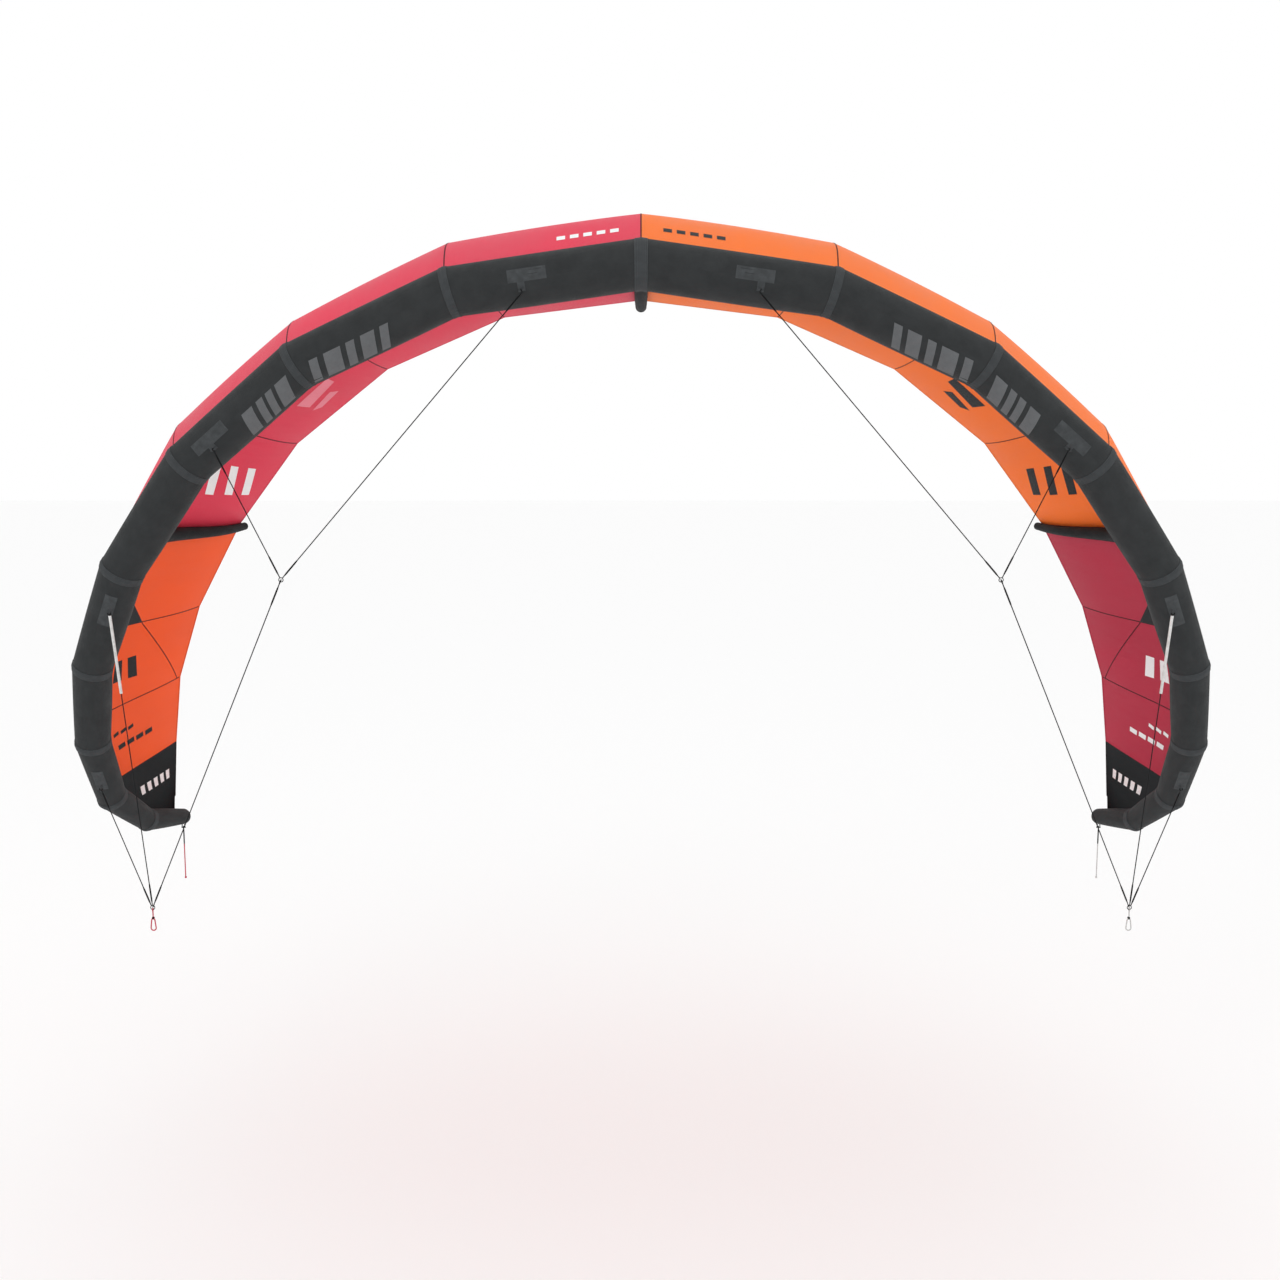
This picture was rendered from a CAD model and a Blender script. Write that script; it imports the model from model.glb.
import math

import bmesh
import bpy
import numpy as np
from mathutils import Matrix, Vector


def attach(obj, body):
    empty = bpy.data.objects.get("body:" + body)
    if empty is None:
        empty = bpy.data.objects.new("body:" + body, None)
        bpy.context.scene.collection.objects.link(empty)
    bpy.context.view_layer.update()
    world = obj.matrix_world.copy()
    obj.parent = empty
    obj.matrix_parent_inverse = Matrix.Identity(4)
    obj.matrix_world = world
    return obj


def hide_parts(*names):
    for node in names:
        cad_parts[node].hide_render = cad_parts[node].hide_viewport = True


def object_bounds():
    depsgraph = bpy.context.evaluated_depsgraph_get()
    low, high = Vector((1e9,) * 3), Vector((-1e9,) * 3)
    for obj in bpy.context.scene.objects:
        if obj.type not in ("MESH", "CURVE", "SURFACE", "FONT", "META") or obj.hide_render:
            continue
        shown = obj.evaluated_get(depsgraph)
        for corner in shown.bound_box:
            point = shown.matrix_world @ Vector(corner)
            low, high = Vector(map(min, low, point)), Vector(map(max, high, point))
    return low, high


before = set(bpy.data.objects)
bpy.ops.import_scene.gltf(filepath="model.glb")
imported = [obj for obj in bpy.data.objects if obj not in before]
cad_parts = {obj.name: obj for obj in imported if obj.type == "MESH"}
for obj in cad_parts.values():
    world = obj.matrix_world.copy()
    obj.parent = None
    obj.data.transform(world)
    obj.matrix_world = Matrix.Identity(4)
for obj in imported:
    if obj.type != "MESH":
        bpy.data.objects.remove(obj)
cad_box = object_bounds()

# ---------------------------------------------------------------- the kite's shape, in metres
# The same construction as the CAD model: a walk along the leading edge, and ribs behind it.
HALF_LENGTH = 4.030
TUBE_D = 0.178
CHORD = 1.475
CAMBER = 0.15
SEG_SHARE = [16.8, 15.1, 13.9, 12.7, 11.3, 9.2, 8.1, 6.9, 6.0]
SEG_SLOPE = [8, 24.5, 39.5, 53, 65, 78, 90, 114, 153]
SEG_SWEEP = [1, 4, 7.5, 13.5, 18.5, 25, 34, 52, 67]
TUBE_SHARE = [1, 0.99, 0.98, 0.96, 0.92, 0.84, 0.77, 0.66, 0.53, 0.39]
RIB_SLOPE = [0, 17, 32, 46, 59, 72, 86, 106]
RIB_CHORD = [1, 0.987, 0.944, 0.876, 0.786, 0.685, 0.583, 0.485]
RIB_ARCH = [1, 0.98, 0.95, 1, 0.82, 0.87, 0.7, 0.6]
RIB_TOE = [0, 0, 0.5, 1.5, 3.5, 5, 6, 6]
RIB_LEAN = [0, 2.5, 4, 5.5, 8, 9, 9, 5.5]
SEGMENTS, TIP_RIB, STRUT_RIB = 9, 7, 4
LE_CENTRE = np.array([0, -0.275, 2.510])
SIDES = {"right": 1, "left": -1}


def vec(*v):
    return np.array(v, float)


def unit(v):
    return v / np.linalg.norm(v)


def across(v, axis):
    return v - (v @ axis) * axis


def sind(a):
    return math.sin(math.radians(a))


def cosd(a):
    return math.cos(math.radians(a))


def lerp(a, b, t):
    return a * (1 - t) + b * t


def table(rows, s):
    i = min(int(s), len(rows) - 2)
    return lerp(rows[i], rows[i + 1], s - i)


def seg_dir(i):
    slope, sweep = SEG_SLOPE[i], SEG_SWEEP[i]
    return vec(cosd(slope) * cosd(sweep), sind(sweep), -sind(slope) * cosd(sweep))


JOINTS = [LE_CENTRE]
for i in range(SEGMENTS):
    JOINTS.append(JOINTS[-1] + HALF_LENGTH * SEG_SHARE[i] / 100 * seg_dir(i))
TUBE_R = [share * TUBE_D / 2 for share in TUBE_SHARE]


def miter(i):
    if i == 0:
        return vec(1, 0, 0)
    return seg_dir(i - 1) if i == SEGMENTS else unit(seg_dir(i - 1) + seg_dir(i))


def le_dir(s):
    return miter(int(s)) if s == int(s) else seg_dir(int(s))


def rib_normal(k):
    return vec(sind(RIB_SLOPE[k]), 0, cosd(RIB_SLOPE[k]))


def rib_back(k):
    span = vec(cosd(RIB_SLOPE[k]), 0, -sind(RIB_SLOPE[k]))
    lean, toe = math.tan(math.radians(RIB_LEAN[k])), math.tan(math.radians(RIB_TOE[k]))
    return unit(vec(0, 1, 0) - span * lean - rib_normal(k) * toe)


RIB_EDGE = [JOINTS[k] + CHORD * RIB_CHORD[k] * rib_back(k) for k in range(TIP_RIB + 1)]
TIP_CORNER = JOINTS[SEGMENTS] + vec(0.030, -0.018, 0.032)
TIP_NORMAL = vec(0.96, 0, -0.28)


def tip_share(s):
    return (s - TIP_RIB) / (SEGMENTS - TIP_RIB)


def edge_at(s):
    return table(RIB_EDGE, s) if s <= TIP_RIB else lerp(RIB_EDGE[TIP_RIB], TIP_CORNER, tip_share(s))


def normal_at(s):
    if s > TIP_RIB:
        return unit(lerp(rib_normal(TIP_RIB), TIP_NORMAL, tip_share(s)))
    i = min(int(s), TIP_RIB - 1)
    return unit(lerp(rib_normal(i), rib_normal(i + 1), s - i))


SEAM_ANGLE, CREST, CANOPY_GAP = 15, 0.28, 0.0044


def seam_point(s):
    axis, d = table(JOINTS, s), le_dir(s)
    side = unit(across(edge_at(s) - axis, d))
    out = unit(across(across(normal_at(s), d), side))
    bend = d @ seg_dir(int(s)) if s == int(s) and 0 < s < SEGMENTS else 1
    reach = (table(TUBE_R, s) + CANOPY_GAP) / bend
    return axis + reach * (sind(SEAM_ANGLE) * side + cosd(SEAM_ANGLE) * out)


def arch(u):
    return sind(90 * u / CREST) if u < CREST else (1 + cosd(180 * (u - CREST) / (1 - CREST))) / 2


def arch_height(s):
    height = CAMBER * table(RIB_ARCH, min(s, TIP_RIB)) * np.linalg.norm(edge_at(s) - table(JOINTS, s))
    return max(0, height - table(TUBE_R, s) * cosd(SEAM_ANGLE) * (1 - CREST))


def rib_up(s):
    return unit(across(normal_at(s), unit(edge_at(s) - seam_point(s))))


def canopy_point(s, u, depth=0.0):
    """The canopy's outer face: s along the leading edge, u from the tube to the edge."""
    return lerp(seam_point(s), edge_at(s), u) + rib_up(s) * (arch_height(s) * arch(u) - depth)


def tube_point(s, angle, grow=0.0):
    """The tube's surface: the angle is 0 at the front, 90 at the top and 270 underneath."""
    def on_joint(i):
        d, r = miter(i), TUBE_R[i] + grow
        up = unit(across(normal_at(i), d))
        v = cosd(angle) * np.cross(d, up) + sind(angle) * up
        if 0 < i < SEGMENTS:
            major = unit(seg_dir(i) - seg_dir(i - 1))
            v = v + (1 / (d @ seg_dir(i)) - 1) * (v @ major) * major
        elif i == 0:
            major = unit(across(seg_dir(0), d))
            v = v + (1 / (d @ seg_dir(0)) - 1) * (v @ major) * major
        return JOINTS[i] + r * v
    i = min(int(s), SEGMENTS - 1)
    return lerp(on_joint(i), on_joint(i + 1), s - i)


def mirrored(points, sign):
    return [vec(sign * p[0], p[1], p[2]) for p in points]


# ---------------------------------------------------------------- materials
def linear(colour):
    parts = [int(colour[i:i + 2], 16) / 255 for i in (1, 3, 5)]
    return tuple(c / 12.92 if c <= 0.04045 else ((c + 0.055) / 1.055) ** 2.4 for c in parts) + (1,)


class Nodes:
    """A material's node tree, built up call by call."""

    def __init__(self, name, roughness=0.5, **sockets):
        self.material = bpy.data.materials.new(name)
        self.material.use_nodes = True
        self.tree = self.material.node_tree
        self.shader = self.tree.nodes["Principled BSDF"]
        self.shader.inputs["Roughness"].default_value = roughness
        self.shader.inputs["Specular IOR Level"].default_value = 0.1
        for key, value in sockets.items():
            self.shader.inputs[key.replace("_", " ")].default_value = value

    def node(self, kind, inputs=None, **settings):
        n = self.tree.nodes.new(kind)
        for key, value in settings.items():
            setattr(n, key, value)
        for key, value in (inputs or {}).items():
            if isinstance(value, bpy.types.NodeSocket):
                self.tree.links.new(value, n.inputs[key])
            else:
                n.inputs[key].default_value = value
        return n

    def place(self, scale, source="UV", turn=(0, 0, 0)):
        coordinates = self.node("ShaderNodeTexCoord").outputs[source]
        return self.node("ShaderNodeMapping", {
            "Vector": coordinates, "Rotation": turn, "Scale": scale}).outputs["Vector"]

    def noise(self, where, scale, detail=3.0, rough=0.5):
        return self.node("ShaderNodeTexNoise", {
            "Vector": where, "Scale": scale, "Detail": detail, "Roughness": rough}).outputs["Fac"]

    def grid(self, where, width, height, line, offset=0.0):
        """1 on the lines of a grid or of brickwork, 0 between them."""
        return self.node("ShaderNodeTexBrick", {
            "Vector": where, "Scale": 1.0, "Mortar Size": line, "Mortar Smooth": 0.3,
            "Brick Width": width, "Row Height": height}, offset=offset, squash=1.0).outputs["Fac"]

    def span(self, value, low, high, start=0.0, end=1.0):
        return self.node("ShaderNodeMapRange", {
            "Value": value, "From Min": start, "From Max": end, "To Min": low, "To Max": high}
        ).outputs["Result"]

    def math(self, operation, a, b):
        return self.node("ShaderNodeMath", {0: a, 1: b}, operation=operation).outputs[0]

    def mix(self, share, a, b):
        n = self.node("ShaderNodeMix", data_type="RGBA")
        for key, value in ((0, share), (6, a), (7, b)):
            if isinstance(value, bpy.types.NodeSocket):
                self.tree.links.new(value, n.inputs[key])
            else:
                n.inputs[key].default_value = value
        return n.outputs[2]

    def finish(self, colour, roughness=None, bumps=()):
        """Bumps are (height, depth in metres) pairs, stacked in order."""
        link = self.tree.links.new
        link(colour, self.shader.inputs["Base Color"])
        if roughness is not None:
            link(roughness, self.shader.inputs["Roughness"])
        normal = None
        for height, depth in bumps:
            bump = self.node("ShaderNodeBump", {"Height": height, "Distance": depth, "Strength": 1.0})
            if normal is not None:
                link(normal, bump.inputs["Normal"])
            normal = bump.outputs["Normal"]
        if normal is not None:
            link(normal, self.shader.inputs["Normal"])
        return self.material


def tone(colour, factor):
    r, g, b, a = linear(colour)
    return (min(1, r * factor), min(1, g * factor), min(1, b * factor), a)


def ripstop(name, colour, roughness=0.42):
    """Canopy cloth: a fine weave, a ripstop grid every 7 mm and soft creases. UVs are in metres."""
    m = Nodes(name, roughness, Specular_IOR_Level=0.07)
    cloth = m.place((1, 1, 1))
    grid = m.grid(cloth, 0.007, 0.007, 0.0005)
    weave = m.grid(cloth, 0.0016, 0.0008, 0.00018, offset=0.5)
    patchy = m.noise(m.place((1, 0.5, 1)), 3.2, 4)
    crease = m.noise(m.place((1, 0.22, 1)), 9, 3, 0.6)
    fade = m.span(patchy, 0.0, 1.0, 0.3, 0.7)
    base = m.mix(fade, tone(colour, 0.93), tone(colour, 1.04))
    thread = m.mix(m.span(grid, 0, 0.55), base, tone(colour, 0.84))
    shine = m.span(patchy, roughness - 0.06, roughness + 0.09, 0.3, 0.7)
    return m.finish(thread, shine, [(crease, 0.006), (grid, 0.0002), (weave, 0.00008)])


def tube_cloth(name, colour, roughness=0.62):
    """Heavy sleeve cloth: a tight weave, a thread grid and stretched creases along the tube."""
    m = Nodes(name, roughness, Sheen_Weight=0.02, Sheen_Roughness=0.5)
    cloth = m.place((1, 1, 1))
    threads = m.grid(cloth, 0.004, 0.004, 0.0004)
    weave = m.grid(cloth, 0.0012, 0.0006, 0.00015, offset=0.5)
    scuffs = m.noise(m.place((1, 1, 1)), 14, 5, 0.65)
    pull = m.noise(m.place((1, 4, 1)), 6, 2)
    base = m.mix(m.span(scuffs, 0, 1, 0.35, 0.75), tone(colour, 0.86), tone(colour, 1.18))
    thread = m.mix(m.span(threads, 0, 0.5), base, tone(colour, 1.45))
    shine = m.span(scuffs, roughness + 0.06, roughness - 0.08, 0.3, 0.75)
    return m.finish(thread, shine, [(pull, 0.004), (threads, 0.0002), (weave, 0.0001)])


def webbing(name, colour, across_rows=0.0022, roughness=0.75):
    """Woven tape with ribs along it and two rows of stitches by its edges: V runs 0 to 1 across."""
    m = Nodes(name, roughness, Sheen_Weight=0.05)
    cloth = m.place((1, 1, 1))
    ribs = m.grid(m.place((1, 0.03, 1)), 0.0032, across_rows, 0.0004, offset=0.5)
    split = m.node("ShaderNodeSeparateXYZ", {"Vector": cloth})
    v = split.outputs["Y"]
    row = m.math("COMPARE", m.math("PINGPONG", m.math("MULTIPLY", v, 1.0), 0.5), 0.16)
    row.node.inputs[2].default_value = 0.035
    dash = m.math("LESS_THAN", m.math("FRACT", m.math("MULTIPLY", split.outputs["X"], 210.0), 0.0), 0.66)
    stitch = m.math("MULTIPLY", row, dash)
    wear = m.noise(m.place((1, 0.03, 1)), 30, 4)
    base = m.mix(m.span(wear, 0, 1, 0.35, 0.7), tone(colour, 0.85), tone(colour, 1.15))
    ribbed = m.mix(m.span(ribs, 0, 0.5), base, tone(colour, 0.6))
    sewn = m.mix(stitch, ribbed, tone(colour, 1.9))
    return m.finish(sewn, None, [(ribs, 0.0003), (stitch, 0.0004)])


def braid(name, colour, roughness=0.6):
    """Braided cord: diagonal strands both ways. U runs along in metres, V goes 0 to 1 round."""
    m = Nodes(name, roughness, Sheen_Weight=0.05)
    one = m.node("ShaderNodeTexWave", {"Vector": m.place((260, 3, 1)), "Scale": 1.0, "Distortion": 0.2},
                 wave_type="BANDS", bands_direction="DIAGONAL").outputs["Fac"]
    two = m.node("ShaderNodeTexWave", {"Vector": m.place((260, -3, 1)), "Scale": 1.0, "Distortion": 0.2},
                 wave_type="BANDS", bands_direction="DIAGONAL").outputs["Fac"]
    strands = m.math("MAXIMUM", one, two)
    fuzz = m.noise(m.place((1, 0.02, 1)), 60, 3)
    base = m.mix(m.span(fuzz, 0, 1, 0.3, 0.7), tone(colour, 0.82), tone(colour, 1.12))
    return m.finish(m.mix(m.span(strands, 0.45, 0.0), base, tone(colour, 0.5)), None, [(strands, 0.0004)])


def moulded(name, colour, roughness=0.45, **sockets):
    """Moulded plastic or film: faint mottling and a fine grain, on object coordinates."""
    m = Nodes(name, roughness, **sockets)
    where = m.place((1, 1, 1), "Object")
    grain = m.noise(where, 900, 2)
    mottle = m.noise(where, 60, 4)
    base = m.mix(m.span(mottle, 0, 1, 0.35, 0.7), tone(colour, 0.9), tone(colour, 1.08))
    return m.finish(base, m.span(mottle, roughness - 0.06, roughness + 0.1, 0.3, 0.7), [(grain, 0.0002)])


def woven_on_object(name, colour, roughness=0.75):
    """Webbing and patches that come from the CAD: a weave on object coordinates, facing front."""
    m = Nodes(name, roughness, Sheen_Weight=0.05)
    where = m.place((1, 1, 1), "Object")
    upright = m.place((1, 1, 1), "Object", (math.pi / 2, 0, 0))
    weave = m.grid(upright, 0.003, 0.0015, 0.0003, offset=0.5)
    wear = m.noise(where, 45, 4)
    base = m.mix(m.span(wear, 0, 1, 0.35, 0.7), tone(colour, 0.8), tone(colour, 1.2))
    return m.finish(m.mix(m.span(weave, 0, 0.5), base, tone(colour, 0.65)), None, [(weave, 0.0004)])


CLOTH = {
    "canopy_pink": ripstop("cloth_pink", "#e43f57"),
    "canopy_orange": ripstop("cloth_orange", "#fd7a30"),
    "canopy_red_orange": ripstop("cloth_red_orange", "#ff5f2c"),
    "canopy_crimson": ripstop("cloth_crimson", "#b8344a"),
    "canopy_black": ripstop("cloth_black", "#202426"),
}
EDGE_TAPE = {
    "canopy_pink": webbing("edge_tape_pink", "#df435b"),
    "canopy_orange": webbing("edge_tape_orange", "#f57330"),
    "canopy_red_orange": webbing("edge_tape_red_orange", "#f25a2b"),
    "canopy_crimson": webbing("edge_tape_crimson", "#ae3247"),
    "canopy_black": webbing("edge_tape_black", "#222628"),
}
SLEEVE = tube_cloth("sleeve_weave", "#313334")
STRUT_CLOTH = tube_cloth("strut_weave", "#181c1e")
BELT = webbing("belt_weave", "#434648")
SEAM_TAPE = webbing("seam_tape_weave", "#3a2226")
PATCH = tube_cloth("patch_weave", "#2a2d2f")
LINE = braid("line_braid", "#17191b")
LIGHT_LINE = {
    "right": braid("pigtail_braid_light", "#d4d4d2"),
    "left": braid("pigtail_braid_red", "#cf4c5e"),
}
GUARD = woven_on_object("guard_braid", "#eeeeeb")
KNOT = braid("knot_braid", "#0f1112")
TAB = woven_on_object("tab_weave", "#4b4e50")
VALVE = moulded("valve_plastic_moulded", "#1f2224", Specular_IOR_Level=0.4)
LID = moulded("lid_plastic_moulded", "#c4c8ca", 0.35, Specular_IOR_Level=0.5)
FILM = moulded("bladder_film_sheet", "#cfd4cc", 0.3, Specular_IOR_Level=0.5)
PRINT = {
    "pale": ripstop("print_pale", "#f8fbfc"),
    "dark": ripstop("print_dark", "#25282a"),
    "pale_pink": ripstop("print_pale_pink", "#f28c9b"),
    "grey": tube_cloth("print_grey", "#646668"),
}


# ---------------------------------------------------------------- building meshes
def make(name, verts, faces, uvs, materials, body, slots=None, smooth=True):
    """uvs: one (u, v) per vertex; slots: one material index per face."""
    mesh = bpy.data.meshes.new(name)
    mesh.from_pydata([tuple(map(float, v)) for v in verts], [], faces)
    layer = mesh.uv_layers.new(name="cloth")
    for loop in mesh.loops:
        layer.data[loop.index].uv = uvs[loop.vertex_index]
    for m in materials:
        mesh.materials.append(m)
    for k, polygon in enumerate(mesh.polygons):
        polygon.use_smooth = smooth
        if slots:
            polygon.material_index = slots[k]
    mesh.update()
    sides = bmesh.new()
    sides.from_mesh(mesh)
    bmesh.ops.recalc_face_normals(sides, faces=sides.faces)
    sides.to_mesh(mesh)
    sides.free()
    piece = bpy.data.objects.new(name, mesh)
    bpy.context.scene.collection.objects.link(piece)
    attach(piece, body)
    return piece


def grid_quads(rows, cols, start=0, flip=False, wrap=False):
    quads = []
    for i in range(rows - 1):
        for j in range(cols if wrap else cols - 1):
            k = (j + 1) % cols
            here, beyond = start + i * cols, start + (i + 1) * cols
            q = (here + j, here + k, beyond + k, beyond + j)
            quads.append(q[::-1] if flip else q)
    return quads


def end_face(row, cols):
    """Closes the small hole at the end of a tube whose rows end where they start."""
    return tuple(range(row * cols, row * cols + cols - 1))


def flat(grid):
    return [p for row in grid for p in row]


def rim_quads(rows, cols, count):
    """The faces that join the edges of two grids, numbered one after the other."""
    loop = list(range(cols - 1)) + [i * cols + cols - 1 for i in range(rows - 1)]
    loop += [(rows - 1) * cols + j for j in range(cols - 1, 0, -1)]
    loop += [i * cols for i in range(rows - 1, 0, -1)]
    return [(b, a, a + count, b + count) for a, b in zip(loop, loop[1:] + loop[:1])]


def lengths(points):
    steps = [0.0]
    for a, b in zip(points, points[1:]):
        steps.append(steps[-1] + float(np.linalg.norm(b - a)))
    return steps


def shell(name, outer, inner, uvs, materials, body, slot_of=None):
    """A thin closed sheet between two grids of points."""
    rows, cols = len(outer), len(outer[0])
    count = rows * cols
    faces = grid_quads(rows, cols) + grid_quads(rows, cols, count, flip=True)
    slots = None
    if slot_of:
        one = [slot_of(i) for i in range(rows - 1) for _ in range(cols - 1)]
        rim = rim_quads(rows, cols, count)
        slots = one + one + [slot_of(min((q[0] % count) // cols, rows - 2)) for q in rim]
    faces += rim_quads(rows, cols, count)
    return make(name, flat(outer) + flat(inner), faces, flat(uvs) * 2, materials, body, slots)


def strip(name, paths, material, body, wide):
    """A raised ribbon from parallel rows of points; V runs 0 to 1 across it."""
    run = lengths([row[len(row) // 2] for row in paths])
    uvs = [[(run[i], j / (len(row) - 1)) for j in range(len(row))] for i, row in enumerate(paths)]
    return make(name, flat(paths), grid_quads(len(paths), len(paths[0])), flat(uvs), [material], body)


def ring_basis(along):
    side = unit(across(vec(1, 0, 0) if abs(along[2]) > 0.9 else vec(0, 0, 1), along))
    return side, np.cross(along, side)


def cord_mesh(name, path, radius, material, body, closed=False, sides=10):
    """A cord's surface round a path. The radius may be one number, or one for each point."""
    n = len(path)
    radii = radius if isinstance(radius, (list, tuple)) else [radius] * n
    rows, side = [], None
    for k in range(n):
        before = path[(k - 1) % n] if closed or k else path[0]
        after = path[(k + 1) % n] if closed or k < n - 1 else path[-1]
        t = unit(after - before)
        side = ring_basis(t)[0] if side is None else unit(across(side, t))
        y = np.cross(t, side)
        turn = [2 * math.pi * j / sides for j in range(sides)]
        rows.append([path[k] + radii[k] * (math.cos(a) * side + math.sin(a) * y) for a in turn])
    if closed:
        rows.append(rows[0])
    run = lengths(list(path) + ([path[0]] if closed else []))
    uvs = [[(run[i], j / sides) for j in range(sides)] for i in range(len(rows))]
    faces = grid_quads(len(rows), sides, wrap=True)
    if not closed:
        faces += [tuple(range(sides))[::-1], tuple(range((len(rows) - 1) * sides, len(rows) * sides))]
    return make(name, flat(rows), faces, flat(uvs), [material], body)


def line_points(a, b, count=24):
    return [lerp(a, b, k / (count - 1)) for k in range(count)]


def loop_points(centre, axis, radius, count=32):
    x, y = ring_basis(unit(axis))
    turn = [2 * math.pi * k / count for k in range(count)]
    return [centre + radius * (math.cos(a) * x + math.sin(a) * y) for a in turn]


# ---------------------------------------------------------------- camera
camera = bpy.data.objects.new("camera", bpy.data.cameras.new("camera"))
bpy.context.scene.collection.objects.link(camera)
camera.location = (0, -5.709, 1.942)
camera.rotation_euler = (math.radians(90 - 7.95), 0, 0)
camera.data.sensor_width = 36
camera.data.lens = 42.65
camera.data.shift_x = -0.0008
bpy.context.scene.camera = camera

# ---------------------------------------------------------------- bridle and pigtails
BRIDLE_AT = [0.62, 2.74, 4.31, 6.6]
TAB_TILT = [22, 22, 18, 4]
TAB_HEIGHT = 0.016
LINE_D, CORD_R, EYE_R, RING_R, BIG_EYE_R = 0.0040, 0.0016, 0.006, 0.008, 0.009
SPLICE_START, SPLICE_LENGTH, SPLICE_R = 0.012, 0.090, 0.0032
SPLICE_TAPER = (0.66, 0.95, 1, 1, 1, 1, 1, 0.95, 0.66)
PIGTAIL_D, PIGTAIL_SPLICE_R, PIGTAIL_TAPER_R = 0.0050, 0.0029, 0.0026
FRONT_KNOT_R, REAR_KNOT_R = 0.0058, 0.0048
LOWER_KNOT = vec(1.903, 0, 0.092)
LOWER_RING_AXIS = vec(0, 1, 0)


def tab_point(k):
    s = BRIDLE_AT[k]
    d, axis = le_dir(s), table(JOINTS, s)
    front = unit(across(vec(0, -1, 0), d))
    inward = unit(across(across(LOWER_KNOT - axis, d), front))
    out = cosd(TAB_TILT[k]) * front + sind(TAB_TILT[k]) * inward
    return axis + (table(TUBE_R, s) + TAB_HEIGHT) * out


TABS = [tab_point(k) for k in range(4)]
UPPER_PLANE = unit(np.cross(TABS[0] - LOWER_KNOT, TABS[1] - LOWER_KNOT))
UPPER_KNOT_X, UPPER_KNOT_DROP = 1.314, 1.116


def upper_knot():
    """The upper knot lies in the plane of its two tabs and the lower knot."""
    x, z, n = UPPER_KNOT_X, LE_CENTRE[2] - UPPER_KNOT_DROP, UPPER_PLANE
    drop = (n[0] * (x - LOWER_KNOT[0]) + n[2] * (z - LOWER_KNOT[2])) / n[1]
    return vec(x, LOWER_KNOT[1] - drop, z)


UPPER_KNOT = upper_knot()
HINGES = [unit(TABS[1] - TABS[0])] * 2 + [unit(TABS[3] - TABS[2])] * 2
KNOTS = [UPPER_KNOT] * 2 + [LOWER_KNOT] * 2
RING_AXES = [UPPER_PLANE] * 2 + [LOWER_RING_AXIS] * 2


def on_ring(centre, axis, toward, r=RING_R):
    return centre + r * unit(across(toward - centre, axis))


LEG_START = [on_ring(TABS[k], HINGES[k], KNOTS[k], EYE_R) for k in range(4)]
LEG_END = [on_ring(KNOTS[k], RING_AXES[k], TABS[k]) for k in range(4)]
LINK_FOOT = on_ring(LOWER_KNOT, LOWER_RING_AXIS, UPPER_KNOT)
LINK_TOP = on_ring(UPPER_KNOT, UPPER_PLANE, LOWER_KNOT)
LINK_DIR = unit(LINK_TOP - LINK_FOOT)
LINK_HINGE = unit(np.cross(LOWER_RING_AXIS, UPPER_KNOT - LOWER_KNOT))
FRONT_PIVOT = LOWER_KNOT - vec(0, 0, RING_R)
FRONT_STEM, LOOP_LENGTH, LOOP_WIDTH = 0.034, 0.050, 0.020
REAR_TAB = JOINTS[SEGMENTS] + vec(-0.004, -0.006, -TUBE_R[SEGMENTS] - 0.014)
REAR_SPLICE, REAR_LENGTH = 0.075, 0.230


def spliced(name, a, b, body, side, sign, ends):
    """A taut line with the thicker sleeves where each end is spliced back into itself."""
    way = unit(b - a)
    path = mirrored(line_points(a, b), sign)
    extras = list(ends)
    for tag, p, q in (("near", a + SPLICE_START * way, a + SPLICE_LENGTH * way),
                      ("far", b - SPLICE_LENGTH * way, b - SPLICE_START * way)):
        points = line_points(p, q, 9)
        radii = [SPLICE_R * share for share in SPLICE_TAPER]
        extras.append(cord_mesh(f"{name}_splice_{tag}_{side}", mirrored(points, sign), radii, KNOT, body))
    line = cord_mesh(f"{name}_{side}", path, LINE_D / 2, LINE, body)
    return line


def eye(name, centre, axis, radius, body, side, sign, material=None):
    points = mirrored(loop_points(centre, axis, radius), sign)
    return cord_mesh(f"{name}_{side}", points, CORD_R, material or KNOT, body, closed=True)


def knot(name, centre, radius, material, body, side, sign):
    """A stopper knot: one cord wound round itself, so it shows three humps."""
    path = []
    for k in range(49):
        a = 2 * math.pi * k / 48
        path.append(centre + radius * vec(
            0.42 * (math.sin(a) + 2 * math.sin(2 * a)) / 2, 0.42 * (math.cos(a) - 2 * math.cos(2 * a)) / 2,
            -0.55 * math.sin(3 * a)))
    return cord_mesh(f"{name}_{side}", mirrored(path[:-1], sign), radius * 0.42, material, body,
                     closed=True)


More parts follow.
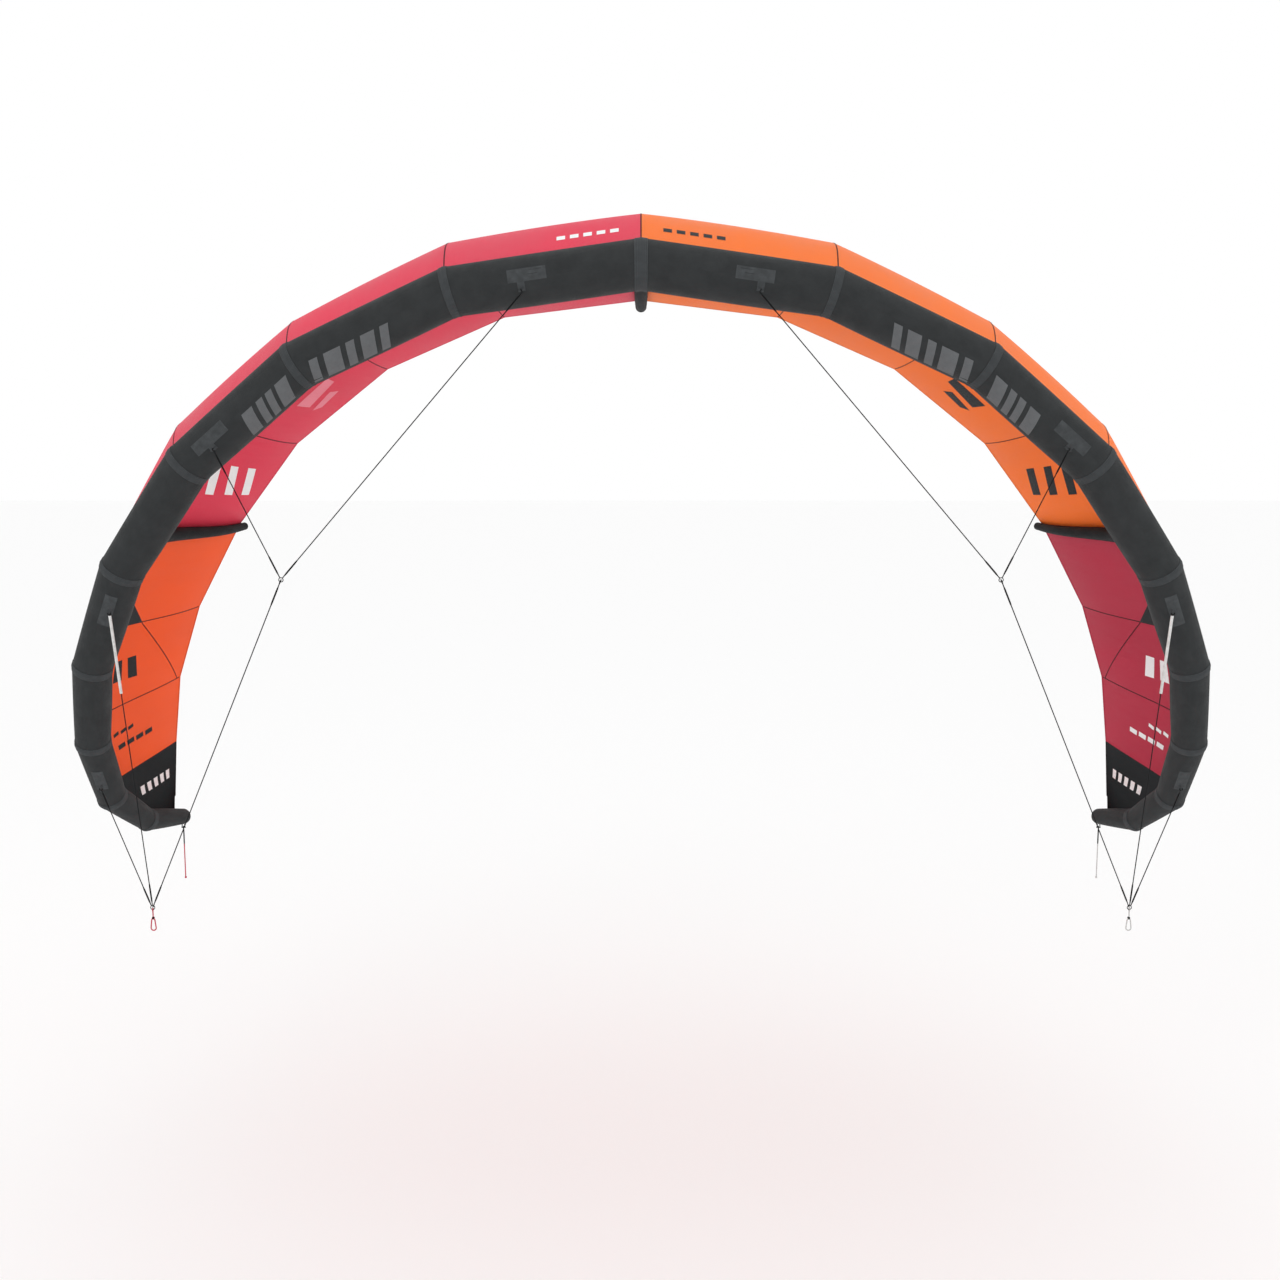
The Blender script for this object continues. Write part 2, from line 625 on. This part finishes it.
for side, sign in SIDES.items():
    upper, lower, link = f"upper_bridle_{side}", f"lower_bridle_{side}", f"bridle_link_{side}"
    bodies = (upper, upper, lower, lower)
    eyes = [eye(f"bridle_eye_{k + 1}", TABS[k], HINGES[k], EYE_R, bodies[k], side, sign) for k in range(4)]
    upper_ring = eye("upper_ring", UPPER_KNOT, UPPER_PLANE, RING_R, upper, side, sign)
    lower_ring = eye("lower_ring", LOWER_KNOT, LOWER_RING_AXIS, RING_R, lower, side, sign)
    for k in range(4):
        body = upper if k < 2 else lower
        extras = [eyes[k]] + ([upper_ring] if k == 0 else [lower_ring] if k == 2 else [])
        spliced(f"bridle_line_{k + 1}", LEG_START[k], LEG_END[k], body, side, sign,
                            extras)
    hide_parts(f"upper_bridle_{side}")
    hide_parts(f"lower_bridle_{side}")
    foot = eye("link_foot_eye", LINK_FOOT, LINK_HINGE, EYE_R, link, side, sign)
    top = eye("link_top_eye", LINK_TOP, np.cross(UPPER_PLANE, LINK_DIR), BIG_EYE_R, link, side, sign)
    middle = spliced("bridle_link_line", LINK_FOOT + EYE_R * LINK_DIR, LINK_TOP - BIG_EYE_R * LINK_DIR,
                     link, side, sign, [foot, top])
    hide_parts(f"bridle_link_{side}")

    light = LIGHT_LINE[side]
    front, rear = f"front_pigtail_{side}", f"rear_pigtail_{side}"
    stop = FRONT_PIVOT - vec(0, 0, FRONT_STEM)
    half, r = LOOP_LENGTH / 2, LOOP_WIDTH / 2
    stem = line_points(FRONT_PIVOT - vec(0, 0, EYE_R), stop, 8)
    loop = [stop - vec(r * sind(a / 2) * 0.9, 0, r * (1 - cosd(a)) * 0.9) for a in range(15, 91, 15)]
    bight = [stop + vec(-r * cosd(a), 0, -LOOP_LENGTH + r - r * sind(a)) for a in range(0, 181, 15)]
    back = [vec(2 * stop[0] - p[0], p[1], p[2]) for p in reversed(loop)]
    path = mirrored(stem + loop + bight + back, sign)
    pigtail = cord_mesh(f"front_pigtail_cord_{side}", path, PIGTAIL_D / 2, light, front)
    pivot_eye = eye("front_pigtail_eye", FRONT_PIVOT, vec(1, 0, 0), EYE_R, front, side, sign, light)
    stopper = knot("front_pigtail_knot", stop, FRONT_KNOT_R, KNOT, front, side, sign)
    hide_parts(f"front_pigtail_{side}")

    path = mirrored(line_points(REAR_TAB - vec(0, 0, EYE_R), REAR_TAB - vec(0, 0, REAR_LENGTH), 20), sign)
    pigtail = cord_mesh(f"rear_pigtail_cord_{side}", path, PIGTAIL_D / 2, light, rear)
    root = line_points(REAR_TAB - vec(0, 0, EYE_R), REAR_TAB - vec(0, 0, REAR_SPLICE), 8)
    taper = [PIGTAIL_TAPER_R] + [PIGTAIL_SPLICE_R] * 6 + [PIGTAIL_TAPER_R]
    wrap = cord_mesh(f"rear_pigtail_splice_{side}", mirrored(root, sign), taper, KNOT, rear)
    pivot_eye = eye("rear_pigtail_eye", REAR_TAB, vec(1, 0, 0), EYE_R, rear, side, sign)
    stopper = knot("rear_pigtail_knot", REAR_TAB - vec(0, 0, REAR_LENGTH), REAR_KNOT_R, light,
                   rear, side, sign)
    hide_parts(f"rear_pigtail_{side}")

# ---------------------------------------------------------------- canopy: one sheet, tip to tip
BAY_COLUMNS, CHORD_ROWS = 12, 44
OUTER_DEPTH, INNER_DEPTH, BILLOW = 0.0002, 0.0014, 0.006
SIDE_CLOTH = {"right": ("canopy_orange", "canopy_crimson"), "left": ("canopy_pink", "canopy_red_orange")}


def billow(s, u):
    """Wind fills each bay a little between its seams."""
    t = s - math.floor(s)
    return BILLOW * 4 * t * (1 - t) * math.sin(math.pi * min(1, u * 1.02)) ** 0.7 if 0 < u < 1 else 0.0


def cloth_point(s, u, depth):
    """A point of the sheet, that far below its outer face."""
    return canopy_point(s, u, depth - billow(s, u))


half_stations = [k / BAY_COLUMNS for k in range(SEGMENTS * BAY_COLUMNS + 1)]
stations = [-s for s in reversed(half_stations[1:])] + half_stations
shares = [(1 - cosd(180 * j / CHORD_ROWS)) / 2 for j in range(CHORD_ROWS + 1)]


def canopy_grid(depth):
    return [mirrored([cloth_point(abs(s), u, depth) for u in shares], -1 if s < 0 else 1) for s in stations]


outer_grid, inner_grid = canopy_grid(OUTER_DEPTH), canopy_grid(INNER_DEPTH)
span_run = lengths([row[CHORD_ROWS // 2] for row in outer_grid])
canopy_uvs = [[(span_run[i], v) for v in lengths(row)] for i, row in enumerate(outer_grid)]
canopy_slots = ["canopy_pink", "canopy_red_orange", "canopy_orange", "canopy_crimson", "canopy_black"]


def canopy_slot(i):
    s = (stations[i] + stations[i + 1]) / 2
    if abs(s) > TIP_RIB:
        return canopy_slots.index("canopy_black")
    return canopy_slots.index(SIDE_CLOTH["left" if s < 0 else "right"][abs(s) > STRUT_RIB])


canopy = shell("canopy_cloth", outer_grid, inner_grid, canopy_uvs, [CLOTH[n] for n in canopy_slots],
               "kite", canopy_slot)
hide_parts(*[f"canopy_{side}_{k}" for side in SIDES for k in range(1, 10)])

# Stitched seams along the ribs and the diagonal, on both faces of the sheet
SEAM_W = 0.0045
SEAM_STEPS = 40
SEAM_PROFILE = ((-0.5, -0.2), (-0.46, 1), (0, 1.15), (0.46, 1), (0.5, -0.2))


def seam_route(kind):
    """Points (s, u) of a seam: a rib's number, or the diagonal in the bay behind joint 5."""
    if kind == "diagonal":
        return [(5 + k / SEAM_STEPS, 0.58 + 0.39 * k / SEAM_STEPS) for k in range(SEAM_STEPS + 1)]
    return [(kind, 0.004 + 0.99 * k / SEAM_STEPS) for k in range(SEAM_STEPS + 1)]


def seam_strip(name, kind, sign, depth, lift):
    rows = []
    route = seam_route(kind)
    for k, (s, u) in enumerate(route):
        here = cloth_point(s, u, depth)
        a, b = route[max(k - 1, 0)], route[min(k + 1, SEAM_STEPS)]
        way = unit(cloth_point(*b, depth) - cloth_point(*a, depth))
        up = rib_up(s)
        wide = unit(np.cross(way, up))
        rows.append(mirrored([here + x * SEAM_W * wide + h * lift * up for x, h in SEAM_PROFILE], sign))
    return strip(name, rows, SEAM_TAPE, "kite", SEAM_W)


for side, sign in SIDES.items():
    for kind in list(range(TIP_RIB + 1)) + ["diagonal"]:
        if kind == 0 and side == "left":
            continue
        seam_strip(f"seam_top_{kind}_{side}", kind, sign, OUTER_DEPTH, 0.0005)
        if kind not in (0, STRUT_RIB):
            seam_strip(f"seam_under_{kind}_{side}", kind, sign, INNER_DEPTH, -0.0005)

# The tape folded over the trailing edge
TAPE_REACH = 0.007


def edge_profile(s):
    edge = edge_at(s)
    back, up = unit(edge - canopy_point(s, 0.9)), rib_up(s)
    around = [(-0.004, 0.0), (-0.0035, 0.0007), (0.0, 0.0009), (TAPE_REACH - 0.001, 0.0009),
              (TAPE_REACH, 0.0001), (TAPE_REACH, -0.0017), (TAPE_REACH - 0.001, -0.0025),
              (0.0, -0.0025), (-0.0035, -0.0023), (-0.004, -0.0016)]
    return [edge + a * back + b * up for a, b in around]


for side, sign in SIDES.items():
    inner, outer = SIDE_CLOTH[side]
    for part, colour, start, end in ((1, inner, 0, STRUT_RIB), (2, outer, STRUT_RIB, TIP_RIB),
                                     (3, "canopy_black", TIP_RIB, 8.6)):
        rows = [mirrored(edge_profile(lerp(start, end, k / 60)), sign) for k in range(61)]
        tape = strip(f"edge_tape_{part}_{side}", rows, EDGE_TAPE[colour], "kite", TAPE_REACH)
        if part == 1 and side == "right":
            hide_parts("trailing_edge_tape")

# The three-cornered patch where the third line pulls
for side, sign in SIDES.items():
    rows, under = [], []
    for i in range(25):
        u = lerp(0.02, 0.578, i / 24)
        start = 5 - 0.88 * min(1, (0.58 - u) / 0.38)
        for grid, drop in ((rows, 0.0004), (under, 0.0010)):
            places = [lerp(start, 5, j / 12) for j in range(13)]
            grid.append(mirrored([cloth_point(s, u, INNER_DEPTH + drop) for s in places], sign))
    uvs = [[(u, v) for v in lengths(row)] for u, row in zip(lengths([r[-1] for r in rows]), rows)]
    gusset = shell(f"gusset_{side}", rows, under, uvs, [PATCH], "kite")
    if side == "right":
        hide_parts("canopy_gussets")

# ---------------------------------------------------------------- leading edge
TUBE_ANGLES, SEGMENT_ROWS = 80, 22
SWELL, PUCKER = 0.0012, 0.0028
PUCKER_AT, PUCKER_RUN, PUCKER_REACH, PUCKERS_ROUND = 0.018, 0.05, 0.16, 34


def sleeve_point(s, angle, grow=0.0):
    """The inflated sleeve: it swells between its joints and puckers inside each bend."""
    i = min(int(s), SEGMENTS - 1)
    t = s - i
    swell = SWELL * math.sin(math.pi * t)
    near = min(SEGMENTS - 1, int(round(s)))
    run = abs(s - near) * HALF_LENGTH * SEG_SHARE[min(i, SEGMENTS - 1)] / 100
    fold = 0.0
    if near > 0 and run < PUCKER_REACH:
        inside = unit(seg_dir(near) - seg_dir(near - 1))
        up = unit(across(normal_at(s), le_dir(near)))
        v = cosd(angle) * np.cross(le_dir(near), up) + sind(angle) * up
        inward = max(0.0, float(v @ inside))
        near_joint = math.exp(-((run - PUCKER_AT) / PUCKER_RUN) ** 2)
        waves = 0.5 - 0.5 * math.cos(math.radians(angle) * PUCKERS_ROUND + 3 * near)
        fold = PUCKER * inward ** 1.3 * near_joint * waves
    return tube_point(s, angle, grow + swell - fold)


def tube_row(s, sign, grow=0.0):
    return mirrored([sleeve_point(s, 360 * k / TUBE_ANGLES, grow) for k in range(TUBE_ANGLES + 1)], sign)


def cap_row(turn, sign):
    d, r = le_dir(SEGMENTS), TUBE_R[SEGMENTS]
    ring = [tube_point(SEGMENTS, 360 * k / TUBE_ANGLES) - JOINTS[SEGMENTS] for k in range(TUBE_ANGLES + 1)]
    return mirrored([JOINTS[SEGMENTS] + cosd(turn) * v + r * sind(turn) * d for v in ring], sign)


close = [(1 - cosd(180 * k / SEGMENT_ROWS)) / 2 for k in range(SEGMENT_ROWS)]
tube_stations = [i + t for i in range(SEGMENTS) for t in close] + [SEGMENTS]
tip_turns = [15, 30, 45, 60, 72, 82, 88]
rows = [cap_row(t, -1) for t in reversed(tip_turns)]
rows += [tube_row(s, -1) for s in reversed(tube_stations[1:])]
rows += [tube_row(s, 1) for s in tube_stations] + [cap_row(t, 1) for t in tip_turns]
run = lengths([row[0] for row in rows])
round_run = [2 * math.pi * TUBE_D / 2 * k / TUBE_ANGLES for k in range(TUBE_ANGLES + 1)]
uvs = [[(along, turn) for turn in round_run] for along in run]
faces = grid_quads(len(rows), TUBE_ANGLES + 1)
faces += [end_face(k, TUBE_ANGLES + 1) for k in (0, len(rows) - 1)]
sleeve = make("leading_edge_sleeve", flat(rows), faces, flat(uvs), [SLEEVE], "kite")
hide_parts(*[f"le_sleeve_{side}_{k}" for side in SIDES for k in range(1, SEGMENTS + 1)])

# Belts over the joints, with rolled edges
BELT_W, CENTRE_BELT_W = 0.030, 0.046
BELT_PROFILE = [(-0.5, 0.0002), (-0.49, 0.0012), (-0.44, 0.0017), (-0.15, 0.0016), (0, 0.0021),
                (0.15, 0.0016), (0.44, 0.0017), (0.49, 0.0012), (0.5, 0.0002)]


def belt_station(i, offset):
    j = i if offset >= 0 or i == 0 else i - 1
    return i + offset / (HALF_LENGTH * SEG_SHARE[j] / 100)


for i in range(SEGMENTS):
    for side, sign in SIDES.items():
        if i == 0 and side == "left":
            continue
        rows = []
        width = BELT_W if i else CENTRE_BELT_W
        for k in range(121):
            angle = 3.0 * k
            row = []
            for x, h in BELT_PROFILE:
                if i == 0 and x < 0:
                    p = sleeve_point(belt_station(0, -x * width), angle, h + 0.0003)
                    row.append(vec(-p[0], p[1], p[2]))
                else:
                    row.append(sleeve_point(belt_station(i, x * width), angle, h + 0.0003))
            rows.append(mirrored(row, sign))
        belt = strip(f"belt_{i}_{side}", rows, BELT, "kite", width)
        if i == 0:
            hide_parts("seam_bands")

# The canopy's front edge is sewn to the sleeve along a narrow tape, which closes the gap below it
FRONT_SEAM = ((-0.004, 0.0006), (0.0, 0.0011), (0.004, 0.0004), (0.008, -0.0018))
SEAM_REACH, SEAM_SUNK = 0.012, 0.0012
for side, sign in SIDES.items():
    rows = []
    for k in range(9 * 24):
        s = k / 24
        axis, base = table(JOINTS, s), seam_point(s)
        up = unit(base - axis)
        wide = unit(across(base - canopy_point(s, 0.03), up))
        row = [base + x * wide + h * up for x, h in FRONT_SEAM]
        foot = unit(across(base + SEAM_REACH * wide - axis, le_dir(s)))
        row.append(axis + (np.linalg.norm(base - axis) - CANOPY_GAP - SEAM_SUNK) * foot)
        rows.append(mirrored(row, sign))
    strip(f"front_seam_{side}", rows, SEAM_TAPE, "kite", 0.014)

# ---------------------------------------------------------------- struts
STRUT_GAP, STRUT_PAST, CANOPY_T = 0.0024, 0.016, 0.0016
STRUT_FRONT, STRUT_FROM, FRONT_REACH = 1 / 14, 2 / 14, 0.75
STRUT_SIDES, STRUT_ROWS, STRUT_ROUND, STRUT_TUBE_GAP = 48, 40, 0.22, 0.0035


def strut_r(s, u):
    return lerp(0.049, 0.025, u) if s == 0 else lerp(0.042, 0.017, u)


def strut_ring(s, u, r, past=0.0, swell=0.0):
    ahead = unit(canopy_point(s, min(1, u + 0.01)) - canopy_point(s, u - 0.01))
    up = unit(across(rib_up(s), ahead))
    core = canopy_point(s, u) - (CANOPY_T + STRUT_GAP + strut_r(s, u)) * up + past * ahead
    x = np.cross(up, ahead)
    turn = [360 * k / STRUT_SIDES for k in range(STRUT_SIDES + 1)]
    return [core + r * (cosd(a) * x + sind(a) * up) for a in turn], ahead


def meet_tube(p, s, way, gap, limit):
    d = vec(1, 0, 0) if s == 0 else le_dir(s)
    a, b = across(way, d), across(p - table(JOINTS, s), d)
    reach, half = table(TUBE_R, s) + gap, a @ b
    disc = max(0, half * half - (a @ a) * (b @ b - reach * reach))
    return p + way * max(-limit, (math.sqrt(disc) - half) / (a @ a))


for name, s, sign in (("strut_centre", 0, 1), ("strut_right", STRUT_RIB, 1), ("strut_left", STRUT_RIB, -1)):
    ring = strut_ring(s, STRUT_FRONT, strut_r(s, STRUT_FRONT))[0]
    way = canopy_point(s, STRUT_FRONT) - canopy_point(s, 0)
    limit = FRONT_REACH * float(np.linalg.norm(way))
    rows = [[meet_tube(p, s, unit(way), STRUT_TUBE_GAP, limit) for p in ring]]
    for k in range(STRUT_ROWS + 1):
        u = lerp(STRUT_FROM, 1, k / STRUT_ROWS)
        rows.append(strut_ring(s, u, strut_r(s, u))[0])
    end = strut_r(s, 1)
    for turn in (0, 15, 30, 45, 60, 75, 86):
        rows.append(strut_ring(s, 1, end * cosd(turn), STRUT_PAST + 0.8 * end * sind(turn))[0])
    rows = [mirrored(row, sign) for row in rows]
    run = lengths([row[0] for row in rows])
    uvs = [[(along, STRUT_ROUND * k / STRUT_SIDES) for k in range(STRUT_SIDES + 1)] for along in run]
    faces = grid_quads(len(rows), STRUT_SIDES + 1) + [end_face(len(rows) - 1, STRUT_SIDES + 1)]
    piece = make(f"{name}_sleeve", flat(rows), faces, flat(uvs), [STRUT_CLOTH], "kite")
    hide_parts(name)

# ---------------------------------------------------------------- plain printed marks
def mark(name, surface, corners, material, steps=10):
    """A four-cornered print lying on a surface: corners in the surface's own two numbers."""
    a, b, c, d = [np.array(q, float) for q in corners]
    rows = []
    for i in range(steps + 1):
        t = i / steps
        across_t = [lerp(lerp(a, b, j / steps), lerp(d, c, j / steps), t) for j in range(steps + 1)]
        rows.append([surface(*place) for place in across_t])
    uvs = [[(u, v) for v in lengths(row)] for u, row in zip(lengths([r[0] for r in rows]), rows)]
    return make(name, flat(rows), grid_quads(steps + 1, steps + 1), flat(uvs), [material], "kite")


UNDER_LIFT, TOP_LIFT, TUBE_LIFT = INNER_DEPTH + 0.0005, OUTER_DEPTH - 0.0005, 0.0005
# Slanted bars (s, u) under the canopy: two corners at the tip end, two at the centre end
BARS = [((3.64, 0.62), (3.64, 0.67), (3.36, 0.62), (3.36, 0.57)),
        ((3.63, 0.735), (3.63, 0.785), (3.33, 0.715), (3.33, 0.67)),
        ((3.625, 0.845), (3.625, 0.90), (3.325, 0.825), (3.325, 0.775))]
CHEVRON = [((2.63, 0.73), (2.60, 0.80), (2.30, 0.77), (2.30, 0.72)),
           ((2.62, 0.835), (2.56, 0.865), (2.36, 0.85), (2.40, 0.81))]
BADGE = [((5.68, 0.40), (5.68, 0.47), (5.42, 0.47), (5.42, 0.42)),
         ((5.69, 0.52), (5.70, 0.59), (5.42, 0.57), (5.42, 0.51))]
RULES = [((6.36, a), (6.34, a + 0.05), (6.39, a + 0.05), (6.41, a)) for a in (0.36, 0.43, 0.50)]
RULES += [((6.55, a), (6.54, a + 0.07), (6.61, a + 0.07), (6.62, a)) for a in (0.38, 0.47, 0.56, 0.65)]
TIP_BLOCKS = [((7.50 + 0.03 * k, 0.42 + 0.1 * k), (7.52 + 0.03 * k, 0.48 + 0.1 * k),
               (7.72 + 0.04 * k, 0.42 + 0.11 * k), (7.70 + 0.04 * k, 0.36 + 0.11 * k)) for k in range(5)]
TOP_RULES = [((a, 0.056), (a + 0.045, 0.056), (a + 0.045, 0.078), (a, 0.078))
             for a in (0.10, 0.17, 0.24, 0.31, 0.38)]
TUBE_STRIPES = [(1.38, 0.055), (1.47, 0.09), (1.60, 0.055), (1.69, 0.11), (1.84, 0.055),
                (2.06, 0.10), (2.19, 0.055), (2.27, 0.055), (2.36, 0.09)]

for side, sign in SIDES.items():
    def under(s, u):
        return mirrored([cloth_point(s, u, UNDER_LIFT)], sign)[0]

    def top(s, u):
        return mirrored([cloth_point(s, u, TOP_LIFT)], sign)[0]

    def tube(s, angle):
        return mirrored([sleeve_point(s, angle, TUBE_LIFT)], sign)[0]

    pale = side == "left"
    groups = {
        "bar": (under, BARS, "pale" if pale else "dark"),
        "stripe": (under, CHEVRON, "pale_pink" if pale else "dark"),
        "badge": (under, BADGE, "dark" if pale else "pale"),
        "rule": (under, RULES, "dark" if pale else "pale"),
        "tip_block": (under, TIP_BLOCKS, "pale"),
        "top_rule": (top, TOP_RULES, "pale" if pale else "dark"),
    }
    for group, (surface, quads, colour) in groups.items():
        for k, corners in enumerate(quads):
            mark(f"print_{group}_{k + 1}_{side}", surface, corners, PRINT[colour])
    for k, (s, width) in enumerate(TUBE_STRIPES):
        corners = ((s, 352), (s + width, 352), (s + width + 0.06, 288), (s + 0.06, 288))
        mark(f"print_tube_{k + 1}_{side}", tube, corners, PRINT["grey"])

# ---------------------------------------------------------------- CAD nodes that show as they are
BARE_FINISHES = {"bridle_tabs": TAB, "bridle_guard": GUARD, "le_bladder": FILM, "strut_bladders": FILM,
                 "valve_lid": LID, "valve_body": VALVE}
for name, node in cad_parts.items():
    for start, finish in BARE_FINISHES.items():
        if name.startswith(start):
            node.data.materials.clear()
            node.data.materials.append(finish)

# ---------------------------------------------------------------- stage and light
FLOOR_DROP, FLOOR_HALF = 1.1, 60
floor_z = float(cad_box[0][2]) - FLOOR_DROP
mesh = bpy.data.meshes.new("floor")
corners = [(FLOOR_HALF * x, FLOOR_HALF * y, floor_z) for x, y in ((-1, -1), (1, -1), (1, 1), (-1, 1))]
mesh.from_pydata(corners, [], [(0, 1, 2, 3)])
floor = bpy.data.objects.new("floor", mesh)
bpy.context.scene.collection.objects.link(floor)
pale_floor = bpy.data.materials.new("floor_pale")
pale_floor.use_nodes = True
pale_floor.node_tree.nodes["Principled BSDF"].inputs["Base Color"].default_value = (0.97, 0.97, 0.97, 1)
pale_floor.node_tree.nodes["Principled BSDF"].inputs["Roughness"].default_value = 0.9
mesh.materials.append(pale_floor)

world = bpy.data.worlds.new("studio")
bpy.context.scene.world = world
world.use_nodes = True
world.node_tree.nodes["Background"].inputs["Color"].default_value = (1, 1, 1, 1)
world.node_tree.nodes["Background"].inputs["Strength"].default_value = 1.0
bpy.context.scene.view_settings.view_transform = "Standard"


def softbox(name, place, aim, size, power):
    light = bpy.data.lights.new(name, "AREA")
    light.shape, light.size, light.energy = "SQUARE", size, power
    lamp = bpy.data.objects.new(name, light)
    lamp.location = place
    way = unit(np.array(aim, float) - np.array(place, float))
    lamp.rotation_euler = Vector(way).to_track_quat("-Z", "Y").to_euler()
    bpy.context.scene.collection.objects.link(lamp)


softbox("key", (-3.0, -5.5, 6.0), (0, 0.3, 1.4), 4.0, 40)
softbox("fill", (4.5, -4.0, 3.0), (0, 0.3, 1.2), 4.0, 16)
softbox("top", (0.0, 1.0, 7.0), (0, 0.4, 1.5), 5.0, 12)
